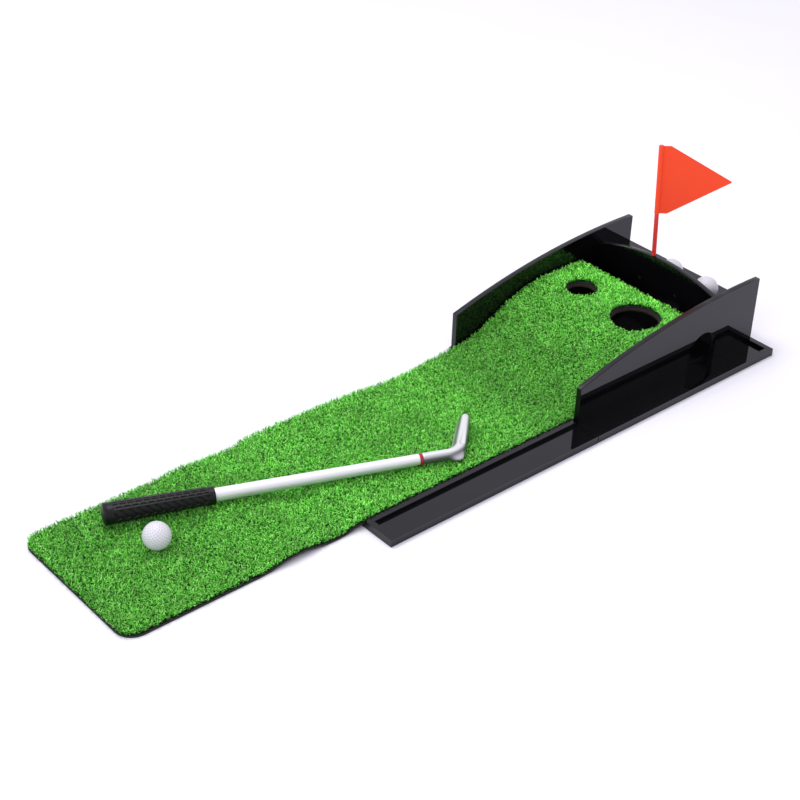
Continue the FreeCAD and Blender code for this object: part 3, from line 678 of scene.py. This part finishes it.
def grip_relief(along, angle):
    """Depth of the moulded pattern: along in metres from the butt, angle in degrees from the top."""
    away = np.abs(angle)
    from_end = np.minimum(along, GRIP_SPAN - along)
    used = smooth_step(GRIP_PLAIN_END - 1 * MM, GRIP_PLAIN_END + 1 * MM, from_end)
    depth = -0.6 * MM * band(away, 43.0, 1.2, 2.6)
    for row, offset in DASH_ROWS:
        phase = np.mod(along / DASH_PITCH + offset, 1.0)
        depth = depth + GROOVE_DEPTH * band(phase, 0.5, 0.3, 0.07) * band(away, row, 2.6, 3.0)
    bend = (away - 50.0) / 56.0
    hook = bend - 0.55 * smooth_step(0.72, 1.0, bend)
    phase = np.mod(along / HOOK_PITCH - 1.1 * hook, 1.0)
    depth = depth + GROOVE_DEPTH * band(phase, 0.5, 0.12, 0.1) * band(away, 78.0, 26.0, 4.0)
    phase = np.mod(along / RIB_PITCH, 1.0)
    ribs = band(phase, 0.5, 0.2, 0.12) * band(away, 180.0, 60.0, 6.0)
    return (depth + GROOVE_DEPTH * 0.6 * ribs) * used


def grip_axis():
    """The putter's line, from the grip cap's middle to the ring's middle."""
    start = centre_of("grip_cap")
    line = centre_of("shaft_ring") - start
    return start, line.normalized()


def turned_ends(name):
    """A turned part's two end planes along the putter's line and its radius at each."""
    start, line = grip_axis()
    points = np.array([v.co for v in frame["nodes"][name].data.vertices]) - np.array(start)
    along = points @ np.array(line)
    radius = np.linalg.norm(points - along[:, None] * np.array(line), axis=1)
    low, high = along.min(), along.max()
    near = 0.1 * MM
    return low, high, radius[along < low + near].max(), radius[along > high - near].max()


GRIP_LOW, GRIP_HIGH, GRIP_LOW_RADIUS, GRIP_HIGH_RADIUS = turned_ends("putter_grip")
GRIP_SPAN = GRIP_HIGH - GRIP_LOW


def putter_grip():
    """The rubber grip: a slightly flat-topped taper with moulded grooves and a rolled front lip."""
    start, line = grip_axis()
    level = line.cross(Vector((0, 0, 1))).normalized()
    top = level.cross(line)
    share = np.linspace(0.0, 1.0, GRIP_ALONG)
    angle = np.linspace(-180.0, 180.0, GRIP_AROUND, endpoint=False)
    s, a = np.meshgrid(share, angle, indexing="ij")
    radius = GRIP_LOW_RADIUS + (GRIP_HIGH_RADIUS - GRIP_LOW_RADIUS) * s
    flat_top = 0.6 * MM * np.cos(np.radians(a)) ** 6 * (np.cos(np.radians(a)) > 0)
    lip = 0.5 * MM * smooth_step(0.975, 0.985, s) - 1.6 * MM * smooth_step(0.992, 1.0, s) ** 2
    radius = radius - GRIP_SKIN - flat_top - grip_relief(s * GRIP_SPAN, a) + lip
    place = np.array(start) + np.array(line) * (GRIP_LOW + s * GRIP_SPAN)[..., None]
    turn = np.radians(a)[..., None]
    spoke = np.array(top) * np.cos(turn) + np.array(level) * np.sin(turn)
    points = place + spoke * radius[..., None]
    points = points.reshape(-1, 3)
    faces = []
    for i in range(GRIP_ALONG - 1):
        for j in range(GRIP_AROUND):
            k = (j + 1) % GRIP_AROUND
            ring, following = i * GRIP_AROUND, (i + 1) * GRIP_AROUND
            faces.append((ring + j, ring + k, following + k, following + j))
    low_centre = np.array(start) + np.array(line) * GRIP_LOW
    high_centre = np.array(start) + np.array(line) * GRIP_HIGH
    points = np.vstack([points, low_centre, high_centre])
    last = (GRIP_ALONG - 1) * GRIP_AROUND
    for j in range(GRIP_AROUND):
        k = (j + 1) % GRIP_AROUND
        faces.append((len(points) - 2, k, j))
        faces.append((len(points) - 1, last + j, last + k))
    return mesh_piece("putter_grip_moulding", points, faces, "grip_rubber", "putter", ["putter_grip"])


def lathe(name, profile, slot, replaced, around=LATHE_STEPS):
    """A closed turned piece on the putter's line. The profile is (along, radius) pairs."""
    start, line = grip_axis()
    level = line.cross(Vector((0, 0, 1))).normalized()
    top = level.cross(line)
    along, radius = (np.array(values)[:, None, None] for values in zip(*profile))
    turn = np.linspace(0.0, 2.0 * math.pi, around, endpoint=False)[None, :, None]
    ring = np.array(top) * np.cos(turn) + np.array(level) * np.sin(turn)
    points = (np.array(start) + np.array(line) * along + ring * radius).reshape(-1, 3)
    faces = [tuple(range(around))[::-1]]
    for i in range(len(profile) - 1):
        base = i * around
        for j in range(around):
            k = (j + 1) % around
            faces.append((base + j, base + k, base + around + k, base + around + j))
    faces.append(tuple(range(len(points) - around, len(points))))
    return mesh_piece(name, points, faces, slot, "putter", [replaced])


def rounded(low, high, radius_low, radius_high, ease, steps=5):
    """A straight or tapering profile with rounded ends."""
    turns = [math.pi / 2.0 * i / steps for i in range(steps + 1)]
    drops = [(ease * (1 - math.sin(t)), ease * (1 - math.cos(t))) for t in turns]
    first = [(low + inset, radius_low - drop) for inset, drop in drops[::-1]]
    last = [(high - inset, radius_high - drop) for inset, drop in drops]
    return first + last


def turned_parts():
    """The shaft, its red ring and the grip's cap, turned finely enough to catch clean highlights."""
    ring_low, ring_high, ring_radius, _ = turned_ends("shaft_ring")
    _, _, shaft_radius, _ = turned_ends("putter_shaft")
    tip_radius = ring_radius * SHAFT_TIP_SHARE
    inside = GRIP_HIGH - SHAFT_INSIDE_GRIP
    outside = [(inside, shaft_radius), (GRIP_HIGH, shaft_radius),
               (ring_low - 0.3 * MM, tip_radius), (ring_low, tip_radius)]
    lathe("putter_shaft_tube", outside, "shaft_silver", "putter_shaft")
    lathe("shaft_ring_band", rounded(ring_low, ring_high, ring_radius, ring_radius, 0.5 * MM),
          "ring_red", "shaft_ring")
    cap_low, cap_high, _, cap_radius = turned_ends("grip_cap")
    cap = [(cap_low + 1.2 * MM, 1.6 * MM), (cap_low + 0.2 * MM, 2.2 * MM), (cap_low, 4.0 * MM)]
    dome = [(cap_low + (cap_high - cap_low) * 0.6 * (1 - math.cos(math.radians(t))),
             4.0 * MM + (cap_radius - 4.0 * MM) * math.sin(math.radians(t))) for t in range(10, 91, 10)]
    groove = [(cap_high - 2.2 * MM, cap_radius), (cap_high - 1.8 * MM, cap_radius - 0.8 * MM),
              (cap_high - 1.0 * MM, cap_radius - 0.8 * MM), (cap_high - 0.6 * MM, cap_radius),
              (cap_high, cap_radius)]
    lathe("grip_cap_moulding", cap + dome + groove, "grip_rubber", "grip_cap")


def putter_head():
    """The cast head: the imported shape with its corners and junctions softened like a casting."""
    source = frame["nodes"]["putter_head"]
    work = bpy.data.objects.new("head_work", source.data.copy())
    bpy.context.scene.collection.objects.link(work)
    weld = work.modifiers.new("weld", "WELD")
    weld.merge_threshold = WELD_DISTANCE
    remesh = work.modifiers.new("remesh", "REMESH")
    remesh.mode = "VOXEL"
    remesh.voxel_size = HEAD_VOXEL
    soften = work.modifiers.new("soften", "SMOOTH")
    soften.factor = 0.5
    soften.iterations = HEAD_SMOOTHINGS
    shaped = work.evaluated_get(bpy.context.evaluated_depsgraph_get())
    mesh = bpy.data.meshes.new_from_object(shaped)
    bpy.data.objects.remove(work)
    mesh.polygons.foreach_set("use_smooth", [True] * len(mesh.polygons))
    return add_piece("putter_head_casting", mesh, "head_silver", "putter", ["putter_head"])


# ---------------------------------------------------------------- studio


def floor():
    bpy.ops.mesh.primitive_plane_add(size=FLOOR_SIZE, location=(0, 0, FLOOR_HEIGHT))
    made = bpy.context.object
    made.name = "floor"
    made.data.materials.append(floor_white())


def soft_light(name, place, size, power):
    light = bpy.data.lights.new(name, "AREA")
    light.shape = "DISK"
    light.size = size
    light.energy = power
    lamp = bpy.data.objects.new(name, light)
    bpy.context.scene.collection.objects.link(lamp)
    lamp.location = place
    lamp.rotation_euler = (-Vector(place)).to_track_quat("-Z", "Y").to_euler()


def surroundings():
    world = bpy.data.worlds.new("studio")
    bpy.context.scene.world = world
    world.use_nodes = True
    backdrop = world.node_tree.nodes["Background"]
    backdrop.inputs["Color"].default_value = (0.97, 0.955, 1.03, 1.0)
    backdrop.inputs["Strength"].default_value = 0.9
    soft_light("key", (-0.9, -0.2, 2.9), 1.8, 44.0)
    soft_light("fill", (0.5, -2.6, 1.5), 2.4, 17.0)
    bpy.context.scene.view_settings.view_transform = "Standard"


def camera():
    data = bpy.data.cameras.new("camera")
    data.lens = CAMERA_LENS
    data.clip_start = 0.05
    data.clip_end = 100.0
    made = bpy.data.objects.new("camera", data)
    bpy.context.scene.collection.objects.link(made)
    flat = math.cos(CAMERA_PITCH)
    right = Vector((math.cos(CAMERA_YAW), math.sin(CAMERA_YAW), 0.0))
    forward = Vector((-right.y * flat, right.x * flat, -math.sin(CAMERA_PITCH)))
    up = right.cross(forward)
    rolled_right = right * math.cos(CAMERA_ROLL) + up * math.sin(CAMERA_ROLL)
    rolled_up = up * math.cos(CAMERA_ROLL) - right * math.sin(CAMERA_ROLL)
    turn = Matrix((rolled_right, rolled_up, -forward)).transposed()
    made.matrix_world = Matrix.Translation(CAMERA_AT) @ turn.to_4x4()
    bpy.context.scene.camera = made


camera()
surroundings()
floor()
finish_cad_nodes()
backing = turf_backing()
blades = turf_blades()
golf_ball("golf_ball_on_mat", "mat_ball")
golf_ball("golf_ball_shelf_middle", "shelf_ball_middle")
golf_ball("golf_ball_shelf_right", "shelf_ball_right")
putter_grip()
turned_parts()
putter_head()
